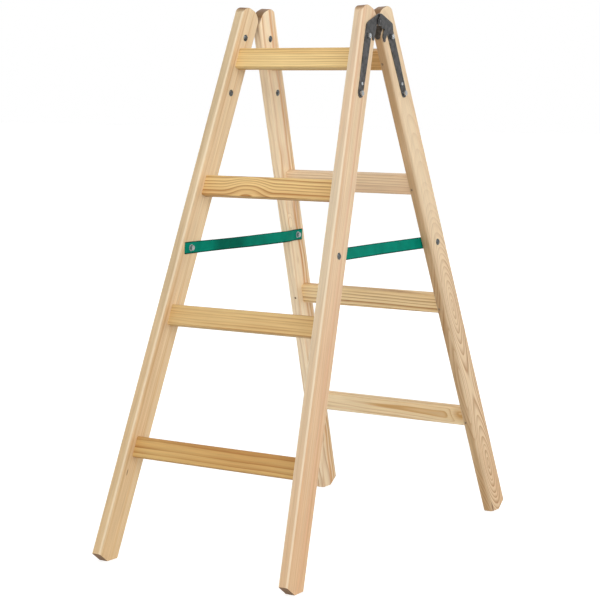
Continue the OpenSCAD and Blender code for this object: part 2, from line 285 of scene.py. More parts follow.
# A link comes from a socket, or from the first output in use of a node
def addNode(tree, kind, links=None, values=None, **settings):
    node = tree.nodes.new("ShaderNode" + kind)
    for name, value in settings.items():
        setattr(node, name, value)
    for socket, value in (values or {}).items():
        node.inputs[socket].default_value = value
    for socket, source in (links or {}).items():
        if isinstance(source, bpy.types.Node):
            source = next(output for output in source.outputs if output.enabled)
        tree.links.new(source, node.inputs[socket])
    return node


# Values that take one span of numbers to another
def span(ends, first=0, last=1, unit=1):
    return {"From Min": ends[0] * unit, "From Max": ends[1] * unit, "To Min": first, "To Max": last}


def newMaterial(name):
    material = bpy.data.materials.new(name)
    material.use_nodes = True
    material.node_tree.nodes.clear()
    return material, material.node_tree


# Shader and output: the colour, with roughness from a pattern and bump from a height
def finishMaterial(tree, look, color, pattern, height, sockets):
    rough = addNode(tree, "MapRange", {"Value": pattern}, span(look["roughFrom"], *look["rough"]))
    bump = addNode(tree, "Bump", {"Height": height}, {
        "Strength": look["bumpShare"], "Distance": look["bumpMm"] * mm,
    })
    links = {"Base Color": color, "Roughness": rough, "Normal": bump}
    shader = addNode(tree, "BsdfPrincipled", links, sockets)
    addNode(tree, "OutputMaterial", {"Surface": shader})


# Lays colours over a surface one after another, each by its share
def laidOver(tree, surface, layers):
    for share, color in layers:
        links = {"Factor": share, "A": surface}
        surface = addNode(tree, "Mix", links, {"B": hexColor(color)}, data_type="RGBA")
    return surface


# Distance from a spot, as a share of its half sizes, all in millimetres
def awayFrom(tree, place, spot, sizes):
    near = addNode(tree, "Mapping", {"Vector": place}, {
        "Location": [v * mm for v in spot], "Scale": [v * mm for v in sizes],
    }, vector_type="TEXTURE")
    return addNode(tree, "VectorMath", {0: near}, operation="LENGTH")


# Scots pine, planed and left bare: pale soft early wood, darker late-wood lines where the blade
# crosses the growth rings, a faint silk of fibres, and brown end grain on the sawn tops and feet
pine = {
    "seed": 1.0,
    "early": "#EBD0A8",
    "late": "#B97F42",
    "pith": (-140, 25),      # trunk's middle across the board and through it, in mm
    "lean": (0.4, 0.3),      # degrees the trunk leans through the board and across it
    "bow": (0, 0, 1000),     # mm the trunk bends through the board, from where along it, in what length
    "bowMost": 1.5,          # of those lengths, after which it runs straight again
    "wander": (6, 6),        # mm the grain drifts across and through
    "wanderMm": 420,         # length of one drift
    "wanderWideMm": 140,     # its width
    "ringMm": 3.2,           # from one ring to the next
    "ringNoise": (0.45, 1.6),           # how soon the width of rings changes, and by how much
    "ringShade": [(0.40, 0.06), (0.78, 0.62), (0.90, 1.0)],     # place in the ring, and how dark it is
    "knots": [],             # (across, through, along, reach in mm, rings pushed) of knots below the surface
    "knotReach": (1, 4, 2),  # shares of the reach across, through and along
    "faint": 0.10,           # weakest and strongest rings
    "strong": 0.45,
    "fadeMm": (22, 260),     # patches of weak and strong rings, across the board and along it
    "fadeFrom": (0.35, 0.65),
    "quiet": (0, -1, 1),     # from where to where along the board the rings gain strength, and share before
    "tone": "#DDB388",       # warmer patches
    "toneMm": (38, 480),
    "toneFrom": (0.4, 0.65),
    "toneShare": 0.6,
    "streaksAndEdgeShade": [],           # (across, half width in mm, colour, share) of resin-rich bands in the grain, and of painted shade on narrow edges
    "streakFrom": (0.3, 0.55),
    "streakLeast": 0.35,     # share that is left where a streak fades
    "foot": "#DDB680",       # yellower towards one end, from where to where along the board
    "footFrom": (-500, -1150),
    "footShare": 0.5,
    "fibreMm": (1.4, 70),    # true fibres are far finer, and drawn wider so that they show
    "fibreFrom": (0.3, 0.7),
    "fibreShade": 0.1,
    "arris": "#F9EACD",      # painted highlight along the rounded edges
    "arrisHighlightFull": 0.4,        # how far into the corner the painted highlight is full
    "arrisHighlightShare": 0.5,
    "end": "#7A5430",
    "endFrom": (0.25, 0.75),            # cosine to the trunk at which end grain starts, and is full
    "endShare": 0.88,
    "pocket": "#6B3F1C",
    "pockets": [],           # (across, through, along, half sizes in mm) of dark resin pockets
    "pocketFrom": (0.45, 1),
    "pocketShare": 0.8,
    "gloss": 0.25,
    "roughFrom": (0.3, 0.7),
    "rough": (0.50, 0.66),
    "bumpMm": 0.12,
    "bumpShare": 0.35,
    "ringBump": 0.4,         # height of a ring beside that of the fibres
}


# Noise drawn out along the grain, with its sizes across the board and along it in millimetres
def grainNoise(tree, board, sizes, values):
    wide, long = sizes
    place = addNode(tree, "Mapping", {"Vector": board}, {
        "Scale": [1 / (wide * mm), 1 / (wide * mm), 1 / (long * mm)],
    })
    return addNode(tree, "TexNoise", {"Vector": place}, {"Scale": 1, **values},
                   noise_dimensions="4D" if "W" in values else "3D")


def grainDrift(tree, board, look):
    noise = grainNoise(tree, board, (look["wanderWideMm"], look["wanderMm"]), {
        "W": look["seed"], "Detail": 2.5, "Roughness": 0.45,
    }).outputs["Color"]
    reach = [2 * v * mm for v in look["wander"]] + [0]
    values = {1: reach, 2: [-v / 2 for v in reach]}
    return addNode(tree, "VectorMath", {0: noise}, values, operation="MULTIPLY_ADD")


# Rings from the trunk's middle, which leans, bends and wanders along the board; knots push them aside
def ringCount(tree, board, lengthwise, drift, look):
    bend, bendFrom, bendLength = look["bow"]
    bendLength *= look["bowMost"]
    values = {1: 1 / (bendLength * mm), 2: -bendFrom / bendLength}
    share = addNode(tree, "Math", {0: lengthwise}, values, operation="MULTIPLY_ADD")
    share = addNode(tree, "Math", {0: share}, operation="TANH")
    square = addNode(tree, "Math", {0: share, 1: share}, operation="MULTIPLY")
    most = (0, bend * look["bowMost"] ** 2 * mm, 0)
    bowed = addNode(tree, "VectorMath", {0: square, 2: board}, {1: most}, operation="MULTIPLY_ADD")
    trunk = addNode(tree, "Mapping", {"Vector": bowed}, {
        "Location": [-v * mm for v in look["pith"]] + [0],
        "Rotation": [math.radians(v) for v in look["lean"]] + [0],
    })
    bent = addNode(tree, "VectorMath", {0: trunk, 1: drift}, operation="ADD")
    flat = addNode(tree, "VectorMath", {0: bent}, {1: (1, 1, 0)}, operation="MULTIPLY")
    radius = addNode(tree, "VectorMath", {0: flat}, operation="LENGTH")
    count = addNode(tree, "Math", {0: radius}, {1: look["ringMm"] * mm}, operation="DIVIDE")
    for *spot, reach, push in look["knots"]:
        away = awayFrom(tree, board, spot, [reach * v for v in look["knotReach"]])
        swell = addNode(tree, "MapRange", {"Value": away}, span((0, 1), push, 0),
                        interpolation_type="SMOOTHERSTEP")
        count = addNode(tree, "Math", {0: count, 1: swell}, operation="ADD")
    return count


# Rings of uneven width: a slow darkening, then a sharp edge
def growthRings(tree, count, look):
    change, most = look["ringNoise"]
    yearly = addNode(tree, "TexNoise", {"W": count}, {"Scale": change, "Detail": 1}, noise_dimensions="1D")
    uneven = addNode(tree, "Math", {0: yearly, 2: count}, {1: most}, operation="MULTIPLY_ADD")
    part = addNode(tree, "Math", {0: uneven}, operation="FRACT")
    rings = addNode(tree, "ValToRGB", {"Fac": part})
    for spot, shade in look["ringShade"]:
        rings.color_ramp.elements.new(spot).color = (shade, shade, shade, 1)
    rings.color_ramp.elements[-1].color = (0, 0, 0, 1)
    return rings


def earlyWood(tree, board, look):
    patch = grainNoise(tree, board, look["toneMm"], {"W": look["seed"] + 3, "Detail": 1.5})
    share = addNode(tree, "MapRange", {"Value": patch}, span(look["toneFrom"], 0, look["toneShare"]))
    return addNode(tree, "Mix", {"Factor": share}, {
        "A": hexColor(look["early"]), "B": hexColor(look["tone"]),
    }, data_type="RGBA")


def lateWood(tree, rings, fade, lengthwise, look):
    most = span(look["fadeFrom"], look["faint"], look["strong"])
    strength = addNode(tree, "MapRange", {"Value": fade}, most)
    *ends, before = look["quiet"]
    gain = addNode(tree, "MapRange", {"Value": lengthwise}, span(ends, before, 1, mm))
    strength = addNode(tree, "Math", {0: strength, 1: gain}, operation="MULTIPLY")
    share = addNode(tree, "Math", {0: rings, 1: strength}, operation="MULTIPLY")
    return share, look["late"]


# Resin-rich bands that follow the grain and come and go along it, and painted shade on some narrow edges
def resinStreaksAndEdgeShade(tree, board, drift, fade, look):
    drifted = addNode(tree, "VectorMath", {0: board, 1: drift}, operation="ADD")
    across = addNode(tree, "SeparateXYZ", {"Vector": drifted}).outputs["X"]
    patchy = addNode(tree, "MapRange", {"Value": fade}, span(look["streakFrom"], look["streakLeast"]))
    streaksAndEdgeShade = []
    for middle, half, color, most in look["streaksAndEdgeShade"]:
        off = addNode(tree, "Math", {0: across}, {1: middle * mm}, operation="SUBTRACT")
        off = addNode(tree, "Math", {0: off}, operation="ABSOLUTE")
        near = addNode(tree, "MapRange", {"Value": off}, span((0, half), most, 0, mm),
                       interpolation_type="SMOOTHSTEP")
        share = addNode(tree, "Math", {0: near, 1: patchy}, operation="MULTIPLY")
        streaksAndEdgeShade.append((share, color))
    return streaksAndEdgeShade


def footTint(tree, lengthwise, look):
    ends = span(look["footFrom"], 0, look["footShare"], mm)
    return addNode(tree, "MapRange", {"Value": lengthwise}, ends), look["foot"]


# Painted highlight on the rounded edges, where the surface is near both the wide and the narrow side
def paintedArrisHighlight(tree, board, section, look):
    width, thick, edgeR = section
    place = addNode(tree, "VectorMath", {0: board}, operation="ABSOLUTE")
    place = addNode(tree, "SeparateXYZ", {"Vector": place}).outputs
    near = []
    for axis, size in (("X", width), ("Y", thick)):
        rounded = span((size / 2 - edgeR, size / 2), unit=mm)
        near.append(addNode(tree, "MapRange", {"Value": place[axis]}, rounded))
    corner = addNode(tree, "Math", {0: near[0], 1: near[1]}, operation="MULTIPLY")
    full = span((0, look["arrisHighlightFull"]), 0, look["arrisHighlightShare"])
    return addNode(tree, "MapRange", {"Value": corner}, full), look["arris"]


# Where the surface looks along the trunk
def endGrain(tree, along, look):
    normal = addNode(tree, "TexCoord").outputs["Normal"]
    towards = addNode(tree, "VectorMath", {0: normal}, {1: along}, operation="DOT_PRODUCT")
    facing = addNode(tree, "Math", {0: towards}, operation="ABSOLUTE")
    ends = span(look["endFrom"], 0, look["endShare"])
    return addNode(tree, "MapRange", {"Value": facing}, ends), look["end"]


def resinPockets(tree, board, look):
    dark = span(look["pocketFrom"], look["pocketShare"], 0)
    pockets = []
    for x, y, z, *halves in look["pockets"]:
        away = awayFrom(tree, board, (x, y, z), halves)
        share = addNode(tree, "MapRange", {"Value": away}, dark, interpolation_type="SMOOTHSTEP")
        pockets.append((share, look["pocket"]))
    return pockets


# Section is the board's width, thickness and edge radius in millimetres
def planedPine(node, along, section, look):
    look = {**pine, **look}
    material, tree = newMaterial(camel("planed_pine_" + node))
    board = addNode(tree, "Attribute", attribute_name="grain").outputs["Vector"]
    lengthwise = addNode(tree, "SeparateXYZ", {"Vector": board}).outputs["Z"]
    drift = grainDrift(tree, board, look)
    rings = growthRings(tree, ringCount(tree, board, lengthwise, drift, look), look)
    fade = grainNoise(tree, board, look["fadeMm"], {"W": look["seed"] + 7, "Detail": 2})
    fibre = grainNoise(tree, board, look["fibreMm"], {"Detail": 3, "Roughness": 0.6})
    wood = laidOver(tree, earlyWood(tree, board, look), [
        lateWood(tree, rings, fade, lengthwise, look),
        *resinStreaksAndEdgeShade(tree, board, drift, fade, look),
        footTint(tree, lengthwise, look),
    ])
    silk = span(look["fibreFrom"], 1 - look["fibreShade"], 1 + look["fibreShade"])
    shade = addNode(tree, "MapRange", {"Value": fibre}, silk)
    wood = addNode(tree, "HueSaturation", {"Value": shade, "Color": wood})
    wood = laidOver(tree, wood, [
        paintedArrisHighlight(tree, board, section, look), endGrain(tree, along, look), *resinPockets(tree, board, look),
    ])
    height = addNode(tree, "Math", {0: rings, 2: fibre}, {1: look["ringBump"]}, operation="MULTIPLY_ADD")
    finishMaterial(tree, look, wood, fibre, height, {"Specular IOR Level": look["gloss"]})
    return material


# Sheet steel with a dark phosphate finish: blotchy grey, brighter along cut edges and folds, partly rubbed wear
# and partly a painted highlight
hingeSteel = {
    "colors": [("#3F3F3F", "#656464")],
    "mottleMm": 9,
    "mottleNoise": (5, 0.6),            # detail and roughness
    "mottleFrom": (0.35, 0.68),
    "rubbedAndHighlit": "#C2C3C4",
    "rubbedAndHighlitShare": 0.75,
    "wearAndHighlightMm": 1.0,           # width of the brighter edge, rubbed wear and painted highlight
    "wearAndHighlightFrom": (0.99, 0.88),           # cosine of the edge's turn at which the brightening starts, and is full
    "wearAndHighlightSamples": 6,
    "roughFrom": (0.3, 0.7),
    "rough": (0.34, 0.52),
    "bumpMm": 0.03,
    "bumpShare": 0.4,
}
# Zinc plate on rolled steel: bright and faintly blue, with a fine mottle of duller crystals; the round
# heads of the bolts get a painted dark reflection
zinc = {
    "colors": [("#8F9497", "#D0D3D5"), ("#303333", "#777A7A")],         # plain zinc, and the painted dark reflection on the bolt heads
    "mottleMm": 2.8,
    "mottleNoise": (4, 0.55),
    "mottleFrom": (0.35, 0.65),
    "roughFrom": (0.3, 0.7),
    "rough": (0.38, 0.18),
    "bumpMm": 0.02,
    "bumpShare": 0.3,
}
# Wire nail: mill scale, brown-grey and dull, in the shade of its hole
nailIron = {
    **zinc,
    "colors": [("#7E6A55", "#A3917B")],
    "mottleMm": 1.5,
    "rough": (0.62, 0.45),
    "bumpMm": 0.04,
}


# Edges where a rounded normal turns away from the true one are made brighter: rubbed wear and a painted highlight
def wornAndHighlitEdges(tree, metal, mottle, look):
    rounded = addNode(tree, "Bevel", values={"Radius": look["wearAndHighlightMm"] * mm}, samples=look["wearAndHighlightSamples"])
    plain = addNode(tree, "NewGeometry").outputs["Normal"]
    bend = addNode(tree, "VectorMath", {0: rounded, 1: plain}, operation="DOT_PRODUCT")
    wearAndHighlight = addNode(tree, "MapRange", {"Value": bend}, span(look["wearAndHighlightFrom"], 0, look["rubbedAndHighlitShare"]))
    patchy = addNode(tree, "Math", {0: wearAndHighlight, 1: mottle}, operation="MULTIPLY")
    return laidOver(tree, metal, [(patchy, look["rubbedAndHighlit"])])


# Colours are pairs of dull and bright, the second pair a painted dark reflection for points marked for it
def mottledMetal(name, look):
    material, tree = newMaterial(name)
    place = addNode(tree, "TexCoord").outputs["Object"]
    detail, rough = look["mottleNoise"]
    noise = addNode(tree, "TexNoise", {"Vector": place}, {
        "Scale": 1 / (look["mottleMm"] * mm), "Detail": detail, "Roughness": rough,
    })
    mottle = addNode(tree, "MapRange", {"Value": noise}, span(look["mottleFrom"]))
    metal, *aged = [addNode(tree, "Mix", {"Factor": mottle}, {
        "A": hexColor(dull), "B": hexColor(bright),
    }, data_type="RGBA") for dull, bright in look["colors"]]
    # Painted dark reflection on the marked points
    for darkReflection in aged:
        age = addNode(tree, "Attribute", attribute_name="aged").outputs["Fac"]
        metal = addNode(tree, "Mix", {"Factor": age, "A": metal, "B": darkReflection}, data_type="RGBA")
    if "rubbedAndHighlit" in look:
        metal = wornAndHighlitEdges(tree, metal, mottle, look)
    finishMaterial(tree, look, metal, noise, noise, {"Metallic": 1.0})
    return material


# Polyester webbing, plain woven: small cross ribs with a soft sheen, painted shade along both edges and over one
# stretch of the left band
webbing = {
    "thread": "#00917A",
    "shadow": "#003F33",
    "threadMm": 1.7,         # true threads are near 0.8 mm, and drawn wider so that they show
    "dipShare": 0.35,        # shadow between the threads
    "edgeShade": (0.38, 0.46),           # painted shade along both edges: shares of the width from the middle, where it starts and is full
    "stainMm": 24,
    "stainFrom": (0.4, 0.7),
    "stainShare": 0.2,
    "wrung": (-171, -70, 75),           # x, y and half length in mm of a stretch of painted shade on the left band
    "wrungWide": 3,          # its width beside its length
    "wrungFrom": (0.25, 1),
    "wrungShare": 0.38,
    "gloss": 0.04,
    "roughFrom": (0, 1),
    "rough": (0.75, 0.55),
    "bumpMm": 0.25,
    "bumpShare": 0.5,
}


def wovenPolyester(heightMm, widthMm):
    look = webbing
    material, tree = newMaterial("wovenPolyester")
    place = addNode(tree, "TexCoord").outputs["Object"]
    axis = addNode(tree, "SeparateXYZ", {"Vector": place}).outputs
    waves = []
    for name in ("Y", "Z"):
        pitch = math.pi / (look["threadMm"] * mm)
        turns = addNode(tree, "Math", {0: axis[name]}, {1: pitch}, operation="MULTIPLY")
        waves.append(addNode(tree, "Math", {0: turns}, operation="SINE"))
    weave = addNode(tree, "Math", {0: waves[0], 1: waves[1]}, operation="MULTIPLY")
    height = addNode(tree, "MapRange", {"Value": weave}, span((-1, 1)))
    dips = addNode(tree, "MapRange", {"Value": height}, span((0, 1), look["dipShare"], 0))

    # Painted shade along the edges, random stains, and a stretch of painted shade
    centre = addNode(tree, "Math", {0: axis["Z"]}, {1: heightMm * mm}, operation="SUBTRACT")
    offset = addNode(tree, "Math", {0: centre}, operation="ABSOLUTE")
    edge = addNode(tree, "MapRange", {"Value": offset}, span(look["edgeShade"], unit=widthMm * mm))
    size = 1 / (look["stainMm"] * mm)
    patch = addNode(tree, "TexNoise", {"Vector": place}, {"Scale": size, "Detail": 3})
    stain = addNode(tree, "MapRange", {"Value": patch}, span(look["stainFrom"], 0, look["stainShare"]))
    x, y, half = look["wrung"]
    wide = look["wrungWide"] * half
    away = awayFrom(tree, place, (x, y, heightMm), (wide, half, wide))
    wrung = addNode(tree, "MapRange", {"Value": away}, span(look["wrungFrom"], look["wrungShare"], 0),
                    interpolation_type="SMOOTHSTEP")
    dark = addNode(tree, "Math", {0: edge, 1: dips}, operation="MAXIMUM")
    for more in (stain, wrung):
        dark = addNode(tree, "Math", {0: dark, 1: more}, operation="ADD", use_clamp=True)
    thread = addNode(tree, "Mix", {"Factor": dark}, {
        "A": hexColor(look["thread"]), "B": hexColor(look["shadow"]),
    }, data_type="RGBA")
    finishMaterial(tree, look, thread, height, height, {"Specular IOR Level": look["gloss"]})
    return material


steelMaterial = mottledMetal("phosphatedSteel", hingeSteel)
zincMaterial = mottledMetal("zincPlatedSteel", zinc)
nailMaterial = mottledMetal("millScaleIron", nailIron)

# Stiles: rounded long edges, rounded tops, feet sawn level and bevelled outside
stileLooks = {
    "front_left": {
        "seed": 2.3, "pith": (-150, 30), "ringMm": 5.5, "faint": 0.15, "strong": 0.55,
        "early": "#F0D8B2", "tone": "#DCB98E",
        # The greyish band at 33 mm lies on the front edge: painted shade
        "streaksAndEdgeShade": [(-8, 7, "#D9B07C", 0.5), (22, 6, "#D3A978", 0.45), (33, 7, "#C6B08C", 0.7)],
        "pockets": [(12.3, -10.5, -989, 1.6, 3, 9)],
    },
    "front_right": {
        "seed": 5.1, "pith": (-170, 60), "ringMm": 6, "faint": 0.12, "strong": 0.5, "early": "#ECD2AE",
        "tone": "#E3B592", "foot": "#DFAE7C",
        # The greyish band at -33 mm lies on the front edge: painted shade
        "streaksAndEdgeShade": [(-26, 6, "#D9AE80", 0.4), (10, 9, "#E6BC9A", 0.5), (-33, 6, "#D8C8AC", 0.7)],
    },
    "rear_left": {
        "seed": 8.4, "pith": (6, 30), "ringMm": 6, "lean": (0.6, 0.3), "wander": (11, 12), "wanderMm": 170,
        "faint": 0.3, "strong": 1.0, "quiet": (-650, -1000, 0.6),
        "early": "#FCE8C8", "late": "#AC682C", "tone": "#F0CFA2",
        "toneShare": 0.4, "footShare": 0.2, "arrisHighlightShare": 0.2,
        "streaksAndEdgeShade": [(-7, 7, "#D08A40", 0.9), (-20, 6, "#D79F5A", 0.7), (24, 4, "#D9A566", 0.6)],
        "knots": [(17, -10, -471, 16, 2.2)],
    },
    "rear_right": {
        "seed": 3.7, "pith": (1, -22), "ringMm": 4.2, "lean": (0, 0), "wander": (5, 5), "wanderMm": 200,
        "faint": 0.45, "strong": 1.0, "bow": (-62, -855, 250), "early": "#EBD2AE", "late": "#9C5C24",
        "quiet": (-420, -660, 0.22), "footShare": 0.15, "arrisHighlightShare": 0.15,
        # The dark band at -31 mm lies on the inner edge and beside it: painted shade, where the front stile shades
        # it
        "streaksAndEdgeShade": [(-31, 9, "#A07848", 0.65)],
        "pockets": [(-24, 10.5, -1160, 3.2, 4, 24)],
    },
}
nail = {
    "x": -15.0,             # from the outer face of the stile
    "d": 2.5,
    "length": 45.0,
    "point": 3.0,
    "headD": 5.0,
    "headT": 1.2,
    "crown": [(0, 0.7), (0.1, 0.92), (0.3, 1)],         # mm below the top of the head, share of its radius
    "sunk": 0.9,            # head below the surface
    "holeD": 5.4,
    "holeDepth": 3.0,
    "holeOut": 4.0,         # of the cutter, past the surface
    "steps": 20,
    "holeSteps": 24,
}


def stileTop(offset):
    inner = arcShort(offset, stile["topInnerR"])
    outer = arcShort(stile["depth"] - offset, stile["topOuterR"])
    return stile["rise"] - inner - outer


# Distance from the folding plane at which the bevel of a foot starts
def footRidge():
    gap = ladder["axisGap"]
    drop = (axisPoint.z / mm + gap * math.sin(lean)) / math.cos(lean)
    return gap * math.cos(lean) + drop * math.sin(lean) + stile["footFlat"]


# Lowest point of the foot on a line up the board, on the floor or on the bevel
def footHeight(place, leaf, x, y):
    start = place @ (Vector((x, y, 0)) * mm) / mm
    along = place.col[2]
    rise = math.tan(math.radians(stile["footBevel"]))
    floor = -start.z / along.z
    bevel = -(start.z - (leaf * start.y - footRidge()) * rise) / (along.z - leaf * along.y * rise)
    return max(floor, bevel)


def stileBoard(leaf, side):
    place = boardFrame(leaf, side)
    depth, thick, soft = stile["depth"], stile["thick"], stile["softRim"]
    turn = leaf * side      # depth runs along +y or -y
    edge = arcStops(stile["edgeR"], stile["edgeSteps"])
    inner = arcStops(stile["topInnerR"], stile["arcSteps"])
    outer = arcStops(stile["topOuterR"], stile["arcSteps"])
    ridge = footRidge() * math.cos(lean) - axisPoint.z / mm * math.sin(lean) - ladder["axisGap"]
    stops = edge + inner + [ridge] + [depth - stop for stop in edge + outer]
    stops = thinned(stops, stile["leastStep"])

    def section(inset, heightAt):
        plus, minus = [], []
        for offset in stops:
            y = turn * (offset - depth / 2) * (1 - 2 * inset / depth)
            short = arcShort(min(offset, depth - offset), stile["edgeR"])
            half = (thick / 2 - short) * (1 - 2 * inset / thick)
            plus.append((half, y, heightAt(half, y)))
            minus.append((-half, y, heightAt(-half, y)))
        return plus + minus[::-1]

    rim = [math.pi / 2 * k / stile["rimSteps"] for k in range(stile["rimSteps"] + 1)]
    rim = [(soft * (1 - math.sin(a)), soft * (1 - math.cos(a))) for a in rim]
    low = max(footHeight(place, leaf, 0, s * depth / 2) for s in (-1, 1)) + stile["clear"]
    high = stile["rise"] - max(stile["topInnerR"], stile["topOuterR"]) - stile["clear"]
    rings = [section(inset, lambda x, y: footHeight(place, leaf, x, y) + lift) for inset, lift in rim]
    for k in range(stile["stations"]):
        height = low + (high - low) * k / (stile["stations"] - 1)
        rings.append(section(0, lambda x, y: height))
    rings += [section(inset, lambda x, y: stileTop(turn * y + depth / 2) - lift) for inset, lift in rim[::-1]]
    return loft(rings)


# Where a nail goes in, with x into the edge of the stile
def nailFrame(leaf, side, number):
    turn = leaf * side
    height = -(rungDrop(number) + nail["x"] * math.sin(splay)) / math.cos(splay)
    spot = moved(nail["x"] + stile["thick"] / 2, -turn * stile["depth"] / 2, height)
    return spot @ Matrix.Rotation(turn * math.pi / 2, 4, "Z")


holeR, holeTop, holeEnd = nail["holeD"] / 2, -nail["holeOut"], nail["holeDepth"]
nailHole = turned([(holeTop, 0), (holeTop, holeR), (holeEnd, holeR), (holeEnd, 0)], nail["holeSteps"])
for leafName, leaf in leaves.items():
    for sideName, side in sides.items():
        node = f"{leafName}_{sideName}_stile"
        place = boardFrame(leaf, side)
        board = newPiece(node, [(*stileBoard(leaf, side), place)])
        cut(board, [(*nailHole, place @ nailFrame(leaf, side, k + 1)) for k in range(ladder["rungCount"])])
        markGrain(board, place, (1, 0, 2))
        evenShade(board)
        look = stileLooks[f"{leafName}_{sideName}"]
        section = (stile["depth"], stile["thick"], stile["edgeR"])
        dress(board, node, planedPine(node, place.col[2].xyz, section, look))
print("stiles done")

# Rungs: flat bars with eased edges, seated a little way into the stiles
rung = {
    "height": 43.0,
    "thick": 19.0,
    "edgeR": 3.0,
    "edgeSteps": 5,
    "seat": 0.6,
    "stations": 9,
}
rungPine = {
    "early": "#E9C78B", "late": "#A96A2C", "tone": "#DCAE72", "ringMm": 6, "wander": (7, 7),
    "faint": 0.3, "strong": 0.9, "footShare": 0, "arrisHighlightShare": 0,
}
rungLooks = {
    "front_rung_1": {
        "seed": 11.2, "pith": (-120, 20), "ringMm": 5.2, "strong": 0.8, "early": "#F2D496",
        "tone": "#E6BC78",
    },
    "front_rung_2": {
        "seed": 12.9, "pith": (-60, -26), "ringMm": 7, "wander": (5, 5), "wanderMm": 240, "strong": 1.0,
        "faint": 0.75, "early": "#F0CF90", "knots": [(-2, -9, -48, 38, -1.7)],
    },
    "front_rung_3": {
        "seed": 13.5, "pith": (-150, 30), "ringMm": 6.2, "strong": 0.75, "early": "#E6C88E",
        "tone": "#D8B074",
    },
    "front_rung_4": {
        "seed": 14.1, "pith": (40, -40), "ringMm": 10, "faint": 0.5, "strong": 1.0, "early": "#DDB877",
        "tone": "#C99856", "toneShare": 0.8, "late": "#A8692E",
    },
    "rear_rung_1": {"seed": 15.6, "pith": (-90, 30)},
    "rear_rung_2": {
        "seed": 16.2, "pith": (-100, 40), "strong": 0.6, "early": "#F9DFBB", "tone": "#ECC8A6",
    },
    "rear_rung_3": {
        "seed": 17.8, "pith": (-60, -34), "ringMm": 8, "wander": (10, 8), "early": "#FBE1B0", "faint": 0.2,
        "tone": "#EAC48A",
    },
    "rear_rung_4": {
        "seed": 18.3, "pith": (8, -24), "ringMm": 7, "wander": (12, 8), "wanderMm": 300, "faint": 0.35,
        "strong": 0.85, "early": "#FAE3BC", "late": "#CB9650", "tone": "#EBC890", "lean": (1.2, 0.8),
        "knots": [(4, -9, 184, 26, 2.4)],
    },
}


def rungBar(number):
    height, thick = rung["height"], rung["thick"]
    edge = arcStops(rung["edgeR"], rung["edgeSteps"])
    stops = edge + [height / 2] + [height - stop for stop in edge[::-1]]
    rings = []
    for k in range(rung["stations"]):
        share = 2 * k / (rung["stations"] - 1) - 1
        front, back = [], []
        for stop in stops:
            z = stop - height / 2
            half = thick / 2 - arcShort(min(stop, height - stop), rung["edgeR"])
            x = share * (innerX(rungDrop(number) - z) + rung["seat"])
            front.append((x, -half, z))
            back.append((x, half, z))
        rings.append(front + back[::-1])
    return loft(rings)


for leafName, leaf in leaves.items():
    for number in range(1, ladder["rungCount"] + 1):
        node = f"{leafName}_rung_{number}"
        place = rungFrame(leaf, number)
        bar = newPiece(node, [(*rungBar(number), place)])
        markGrain(bar, place, (2, 1, 0))
        evenShade(bar)
        section = (rung["height"], rung["thick"], rung["edgeR"])
        look = {**rungPine, **rungLooks[node]}
        dress(bar, node, planedPine(node, place.col[0].xyz, section, look))
print("rungs done")

# Nails, sunk into the inner edges of the stiles
shankR, headR, headIn = nail["d"] / 2, nail["headD"] / 2, nail["sunk"]
neck, nailEnd = headIn + nail["headT"], nail["length"]
nailProfile = [(headIn, 0)] + [(headIn + down, headR * share) for down, share in nail["crown"]]
nailProfile += [(neck, headR), (neck, shankR), (nailEnd - nail["point"], shankR), (nailEnd, 0)]
nailShape = turned(nailProfile, nail["steps"])
for leafName, leaf in leaves.items():
    node = f"{leafName}_rung_nails"
    parts = []
    for side in sides.values():
        for number in range(1, ladder["rungCount"] + 1):
            parts.append((*nailShape, boardFrame(leaf, side) @ nailFrame(leaf, side, number)))
    dress(newPiece(node, parts), node, nailMaterial)
print("nails done")

# Hinges: the stamped arms with their cut edges broken, and a domed rivet through each pair of ears
hinge = {
    "sheet": 2.0,
    "edgeSoft": 0.3,
    "edgeSteps": 2,
    "sharp": 28,            # degrees between faces that count as an edge
    "flat": 0.5,            # degrees between faces that count as one
    "shadeSharp": 25,
}
rivet = {
    "d": 8.0,
    "headD": 11.0,
    "headH": 3.5,
    "tailT": 1.6,
    "tailSoft": 0.4,
}
dome = {
    "steps": 8,
    "lip": 0.15,            # height of the broken edge below a cap's rim, and how far it goes in
    "lipIn": 0.2,
}


# Copy of a node's mesh with flat faces joined and its edges rounded
def softenedCopy(node):
    shape = bmesh.new()
    shape.from_mesh(frame["nodes"][node].data)
    bmesh.ops.remove_doubles(shape, verts=shape.verts, dist=1e-6)
    flat, sharp = math.radians(hinge["flat"]), math.radians(hinge["sharp"])
    bmesh.ops.dissolve_limit(shape, angle_limit=flat, verts=shape.verts, edges=shape.edges)
    edges = [e for e in shape.edges if len(e.link_faces) == 2 and e.calc_face_angle() > sharp]
    bmesh.ops.bevel(shape, geom=edges, offset=hinge["edgeSoft"] * mm, segments=hinge["edgeSteps"],
                    profile=0.5, affect="EDGES", clamp_overlap=True)
    return keepPiece(node, bpy.data.meshes.new(camel(node)), shape, hinge["shadeSharp"])


# Round cap from its pole, standing on x = 0 towards -x, with a small straight rim
def domeProfile(d, h, rim=0.5):
    rise = h - rim
    r = (d * d / 4 + rise * rise) / (2 * rise)
    full = math.asin(d / 2 / r)
    angles = [full * k / dome["steps"] for k in range(1, dome["steps"] + 1)]
    cap = [(-h + r * (1 - math.cos(a)), r * math.sin(a)) for a in angles]
    return [(-h, 0)] + cap + [(-dome["lip"], d / 2), (0, d / 2 - dome["lipIn"])]


